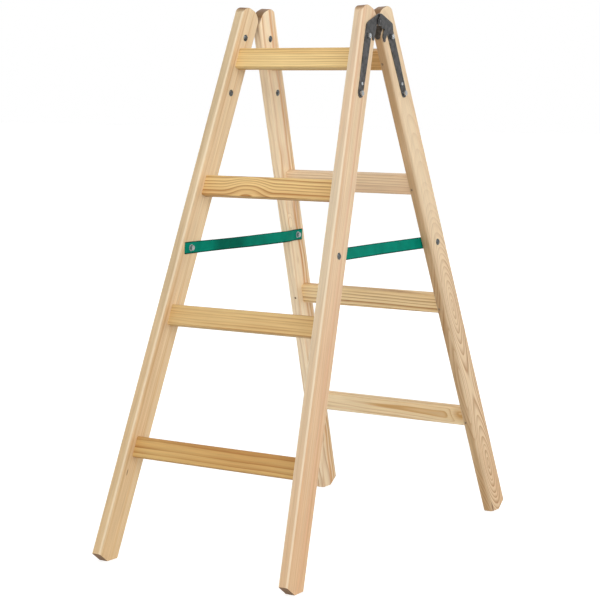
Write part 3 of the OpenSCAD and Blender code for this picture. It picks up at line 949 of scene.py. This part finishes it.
for leafName in leaves:
    for sideName in sides:
        node = f"{leafName}_{sideName}_hinge_arm"
        arm = softenedCopy(node)
        evenShade(arm)
        dress(arm, node, steelMaterial)
for sideName, side in sides.items():
    node = f"{sideName}_hinge_rivet"
    low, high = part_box(node)
    near, far = sorted((abs(low[0]) / mm, abs(high[0]) / mm))
    reach = far - rivet["headH"]
    end, soft = near - reach, rivet["tailSoft"]
    shoulder = end + rivet["tailT"]
    tailR, shankR = rivet["headD"] / 2, rivet["d"] / 2
    head = [(-x, r) for x, r in domeProfile(rivet["headD"], rivet["headH"])][::-1]
    tail = [(end, 0), (end, tailR - soft), (end + soft, tailR)]
    tail += [(shoulder, tailR), (shoulder, shankR), (0, shankR)]
    place = Matrix.Translation(axisPoint) @ Matrix.Scale(side, 4, (1, 0, 0)) @ moved(reach)
    dress(newPiece(node, [(*turned(tail + head), place)]), node, steelMaterial)
print("hinges done")

# Bolts, nuts, washers and screws
bolt = {
    "d": 6.0,
    "cupD": 14.0,
    "cupH": 3.6,
    "nutW": 10.0,
    "nutH": 5.0,
    "nutFace": 0.94,        # share of the width that stays flat
    "nutChamfer": 30,       # degrees
    "nutSteps": 48,
    "boreGap": 0.05,
    "boreSoft": 0.4,
    "threadEnd": 1.5,       # past the nut
    "threadFrom": 1.0,      # before the nut
    "threadPitch": 1.0,
    "threadDeep": 0.4,
    "plainEnd": 2.0,        # before the nut
    "tipIn": 0.7,
    "washerD": 14.0,
    "washerT": 1.2,
    "washerHole": 6.4,
    "washerSoft": 0.25,
    "upper": 44.5,          # down the stile from the hinge axis
    "screw": 147.0,
    "lower": 167.5,
    "band": 507.0,
    "nutTurns": (7, 22, -13, 31, 3, 17, -24, 11),       # degrees
    "shadeSharp": 28,
}
screw = {
    "headD": 7.0,
    "headH": 2.4,
    "headRim": 0.4,
    "d": 3.5,
    "length": 16.0,
    "point": 4.0,
    "crossLong": 4.0,
    "crossWide": 1.0,
    "crossDeep": 1.5,
    "crossTaper": 0.6,      # share of its size at the bottom
    "crossOut": 1.0,        # of the cutter, past the head
    "turn": (20, 35),       # degrees, by side and by leaf
}
band = {
    "width": 25.0,
    "thick": 1.8,
    "tail": 19.0,           # past the bolts
    "gap": 0.1,             # to the stile
    "sway": {"left": 8.0, "right": 2.0},        # slack that stands inwards, most near the rear stile
    "crown": 0.9,           # of the way to the rear bolt, where the slack stands out most
    "ease": (-0.03, -0.015, 0, 0.015, 0.03),    # shares of the way over which the slack is rounded
    "twist": {"left": 9.0, "right": 4.0},       # degrees
    "washerGap": 2.0,       # from the washers to where the slack starts
    "stations": 90,
    "across": (0.5, 0.9, 0.95, 0.985, 1),       # points from the middle to an edge
    "edgeFrom": 0.95,       # where the edge starts to round
    "edgeLeast": 0.25,      # share of the thickness that is left there
    "shadeSharp": 60,       # degrees
}
strapFace = hinge["sheet"] * math.cos(splay)
bandGrip = stile["thick"] + band["thick"] + 2 * band["gap"] + bolt["washerT"]


# Cup-head bolt: head under x = 0, shank along +x, ridges where it is threaded
def cupBolt(grip):
    r = bolt["d"] / 2
    start, end = grip - bolt["threadFrom"], grip + bolt["nutH"] + bolt["threadEnd"]
    profile = domeProfile(bolt["cupD"], bolt["cupH"]) + [(0, r), (grip - bolt["plainEnd"], r)]
    half = bolt["threadPitch"] / 2
    count = int((end - start) / half)
    profile += [(start + half * k, r - (bolt["threadDeep"] if k % 2 else 0)) for k in range(count)]
    return turned(profile + [(end, r - bolt["tipIn"]), (end, 0)])


# Hexagon nut with chamfered corners and a bore, from x = 0 to its height
def hexNut():
    flat, tall, steps, soft = bolt["nutW"] / 2, bolt["nutH"], bolt["nutSteps"], bolt["boreSoft"]
    bore, face = bolt["d"] / 2 + bolt["boreGap"], flat * bolt["nutFace"]

    def ring(x, radiusAt):
        angles = [2 * math.pi * k / steps for k in range(steps)]
        return [(x(a), radiusAt(a) * math.cos(a), radiusAt(a) * math.sin(a)) for a in angles]

    def hexR(a):
        return flat / math.cos((a + math.pi / 6) % (math.pi / 3) - math.pi / 6)

    def chamfer(a):
        return (hexR(a) - face) * math.tan(math.radians(bolt["nutChamfer"]))

    return skin([
        ring(lambda a: soft, lambda a: bore), ring(lambda a: 0, lambda a: bore + soft),
        ring(lambda a: 0, lambda a: face), ring(chamfer, hexR),
        ring(lambda a: tall - chamfer(a), hexR), ring(lambda a: tall, lambda a: face),
        ring(lambda a: tall, lambda a: bore + soft), ring(lambda a: tall - soft, lambda a: bore),
    ], closed=True)


def washerRing():
    outer, inner = bolt["washerD"] / 2, bolt["washerHole"] / 2
    t, c = bolt["washerT"], bolt["washerSoft"]
    profile = [
        (c, inner), (0, inner + c), (0, outer - c), (c, outer), (t - c, outer), (t, outer - c),
        (t, inner + c), (t - c, inner),
    ]
    return turned(profile, closed=True)


def screwBody():
    head = [(-x, r) for x, r in domeProfile(screw["headD"], screw["headH"], screw["headRim"])]
    r, end = screw["d"] / 2, -screw["length"]
    return turned(head + [(0, r), (end + screw["point"], r), (end, 0)])


# Cross recess of a screw: two tapered bars
def crossTools():
    long, wide = screw["crossLong"] / 2, screw["crossWide"] / 2
    points = []
    for x, share in ((-screw["crossDeep"], screw["crossTaper"]), (screw["crossOut"], 1)):
        for sy, sz in ((-1, -1), (1, -1), (1, 1), (-1, 1)):
            points.append((x, sy * long * share, sz * wide * share))
    faces = [(0, 1, 2, 3), (4, 5, 6, 7)] + [(k, (k + 1) % 4, (k + 1) % 4 + 4, k + 4) for k in range(4)]
    return [(points, faces, Matrix.Rotation(turn, 4, "X")) for turn in (0, math.pi / 2)]


hingeDrops = (bolt["upper"], bolt["lower"])
hingeSpots = [(side, drop) for side in sides.values() for drop in hingeDrops]
bandSpots = [(side, bolt["band"]) for side in sides.values()]
flipped = Matrix.Scale(-1, 4, (1, 0, 0))
still = [0] * len(hingeSpots)
for leafName, leaf in leaves.items():
    turns = bolt["nutTurns"][::leaf]
    made = {
        "hinge_bolts": (cupBolt(stile["thick"] + strapFace), hingeSpots, still, moved(-stile["thick"])),
        "hinge_nuts": (hexNut(), hingeSpots, turns, moved(strapFace)),
        "band_bolts": (cupBolt(bandGrip), bandSpots, still, flipped),
        "band_washers": (washerRing(), bandSpots, still, moved(-bandGrip)),
        "band_nuts": (hexNut(), bandSpots, turns[len(hingeSpots):], moved(-bandGrip - bolt["nutH"])),
    }
    for kind, (shape, spots, angles, shift) in made.items():
        node = f"{leafName}_{kind}"
        parts = [(*shape, boltFrame(leaf, *spot, turn) @ shift) for spot, turn in zip(spots, angles)]
        piece = newPiece(node, parts, bolt["shadeSharp"])
        # The bolt heads are marked for the zinc's painted dark reflection
        if kind.endswith("bolts"):
            layer = piece.data.attributes.new("aged", "FLOAT", "POINT")
            layer.data.foreach_set("value", [float(x <= 0) for x, *rest in shape[0]] * len(parts))
        dress(piece, node, zincMaterial)
    node = f"{leafName}_hinge_screws"
    places = []
    for side in sides.values():
        turn = screw["turn"][0] * side + screw["turn"][1] * leaf
        places.append(boltFrame(leaf, side, bolt["screw"], turn) @ moved(strapFace))
    screws = newPiece(node, [(*screwBody(), place) for place in places])
    recess = [(points, faces, place @ moved(screw["headH"]) @ turn)
              for place in places for points, faces, turn in crossTools()]
    cut(screws, recess, bolt["shadeSharp"], crossing=True)
    dress(screws, node, zincMaterial)
print("fasteners done")


# Where a rear band bolt comes through the inner face of its stile
def bandSpot(side):
    return boltFrame(leaves["rear"], side, bolt["band"]) @ (Vector((-stile["thick"], 0, 0)) * mm) / mm


# Webbing bands, flat on the inner faces of the stiles and a little slack between them
def webbingBand(sideName):
    side = sides[sideName]
    spot = bandSpot(side)
    tilt = math.atan(math.tan(splay) * math.cos(lean))
    slope = math.tan(splay) * math.sin(lean) * math.cos(tilt)
    endY, edgeY = spot.y + band["tail"], spot.y - bolt["washerD"] / 2 - band["washerGap"]
    inwards = Vector((-side * math.cos(tilt), 0, -math.sin(tilt)))
    upwards = Vector((-side * math.sin(tilt), 0, math.cos(tilt)))
    bow, twist = band["sway"][sideName], math.radians(band["twist"][sideName])
    half, thick = band["width"] / 2, band["thick"]
    crown, ease, edgeFrom = band["crown"], band["ease"], band["edgeFrom"]

    def slack(share):
        return max(0, min(share / crown, (1 - share) / (1 - crown)))

    outline = []
    for w in [-w for w in band["across"][::-1]] + [0] + list(band["across"]):
        edge = math.sqrt(1 - max(0, (abs(w) - edgeFrom) / (1 - edgeFrom)) ** 2)
        outline.append((w * half, thick / 2 * max(edge, band["edgeLeast"])))
    rings = []
    for k in range(band["stations"] + 1):
        y = -endY + 2 * endY * k / band["stations"]
        share = min(max((y + edgeY) / (2 * edgeY), 0), 1)
        out = bow * sum(slack(share + step) for step in ease) / len(ease)
        turn = twist * math.sin(2 * math.pi * share) * math.sin(math.pi * share) ** 0.5
        away = band["gap"] + thick / 2 + out - slope * (abs(y) - spot.y)
        middle = Vector((spot.x, y, spot.z)) + inwards * away
        flat = upwards * math.cos(turn) + inwards * math.sin(turn)
        through = inwards * math.cos(turn) - upwards * math.sin(turn)
        plus = [middle + flat * a + through * b for a, b in outline]
        minus = [middle + flat * a - through * b for a, b in outline]
        rings.append(plus + minus[::-1])
    return loft(rings), spot


webbingMaterial = wovenPolyester(bandSpot(sides["right"]).z, band["width"])
for sideName, side in sides.items():
    node = f"{sideName}_band"
    (points, faces), spot = webbingBand(sideName)
    strip = newPiece(node, [(points, faces, Matrix())], band["shadeSharp"])
    strip.data.materials.append(webbingMaterial)
    reach = 2 * (spot.y + band["tail"])
    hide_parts(node)
    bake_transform(strip)
print("bands done")

# Studio: pale floor, a surround that is brightest at the horizon, and weak soft lamps on three sides
studio = {
    "white": "#FFFFFF",
    "floor": "#C2C2C0",
    "floorRough": 0.9,
    "floorGlow": 0.72,      # so that the camera sees white up to the horizon
    "floorSize": 60.0,      # metres
    "fill": 2.1,            # light of the surround on the ladder, at the horizon
    "fillTop": 0.8,         # sine of the elevation at which it ends
    "lamps": [              # azimuth, elevation (degrees), distance, size (m), watts
        ("frontLamp", 24, 28, 7.0, 2.2, 80),
        ("sideLamp", 72, 26, 7.0, 2.2, 85),
        ("backLamp", 200, 35, 7.0, 2.6, 100),
    ],
    "target": (0, 0, 0.8),
}
view = {
    "place": (2.0709, -3.2651, 0.9632),         # metres
    "yaw": 32.76,           # degrees, from looking level along +y
    "pitch": -6.74,
    "roll": 0.23,
    "lensMm": 109.80,
    "sensorMm": 36.0,
}


# Rays that show the white background: straight to the camera, in metal or through glass
def seenRays(tree):
    path = addNode(tree, "LightPath").outputs
    seen = path["Is Camera Ray"]
    for name in ("Is Glossy Ray", "Is Transmission Ray"):
        seen = addNode(tree, "Math", {0: seen, 1: path[name]}, operation="MAXIMUM")
    return seen


# Matt white paint, set as a pale grey that glows up to white where it is seen, and takes the shadow
def paleFloor():
    half = studio["floorSize"] / 2 / mm
    corners = [(-half, -half, 0), (half, -half, 0), (half, half, 0), (-half, half, 0)]
    floor = newPiece("floor", [(corners, [(0, 1, 2, 3)], Matrix())])
    material, tree = newMaterial("mattWhitePaint")
    glow = addNode(tree, "Math", {0: seenRays(tree)}, {1: studio["floorGlow"]}, operation="MULTIPLY")
    shader = addNode(tree, "BsdfPrincipled", {"Emission Strength": glow}, {
        "Base Color": hexColor(studio["floor"]), "Roughness": studio["floorRough"],
        "Emission Color": hexColor(studio["white"]),
    })
    addNode(tree, "OutputMaterial", {"Surface": shader})
    floor.data.materials.append(material)


def whiteSurround():
    world = bpy.data.worlds.new("whiteSurround")
    world.use_nodes = True
    tree = world.node_tree
    tree.nodes.clear()
    towards = addNode(tree, "TexCoord").outputs["Generated"]
    height = addNode(tree, "SeparateXYZ", {"Vector": towards}).outputs["Z"]
    fill = addNode(tree, "MapRange", {"Value": height}, span((0, studio["fillTop"]), studio["fill"], 0))
    level = addNode(tree, "MapRange", {"Value": seenRays(tree), "To Min": fill})
    back = addNode(tree, "Background", {"Strength": level}, {"Color": hexColor(studio["white"])})
    addNode(tree, "OutputWorld", {"Surface": back})
    bpy.context.scene.world = world


def softLamp(name, azimuth, elevation, distance, size, watts):
    lamp = bpy.data.lights.new(name, "AREA")
    lamp.shape = "DISK"
    lamp.size = size
    lamp.energy = watts
    a, e = math.radians(azimuth), math.radians(elevation)
    towards = Vector((math.sin(a) * math.cos(e), -math.cos(a) * math.cos(e), math.sin(e)))
    holder = bpy.data.objects.new(name, lamp)
    holder.location = Vector(studio["target"]) + towards * distance
    holder.rotation_euler = towards.to_track_quat("Z", "Y").to_euler()
    bpy.context.collection.objects.link(holder)


def photoCamera():
    turn = Matrix()
    for degrees, axis in ((view["yaw"], "Z"), (90 + view["pitch"], "X"), (view["roll"], "Z")):
        turn = turn @ Matrix.Rotation(math.radians(degrees), 4, axis)
    lens = bpy.data.cameras.new("photoCamera")
    lens.sensor_width = view["sensorMm"]
    lens.lens = view["lensMm"]
    camera = bpy.data.objects.new("photoCamera", lens)
    camera.matrix_world = Matrix.Translation(view["place"]) @ turn
    bpy.context.collection.objects.link(camera)
    bpy.context.scene.camera = camera


paleFloor()
whiteSurround()
for lampSettings in studio["lamps"]:
    softLamp(*lampSettings)
photoCamera()
bpy.context.scene.view_settings.view_transform = "Standard"
print("studio done")
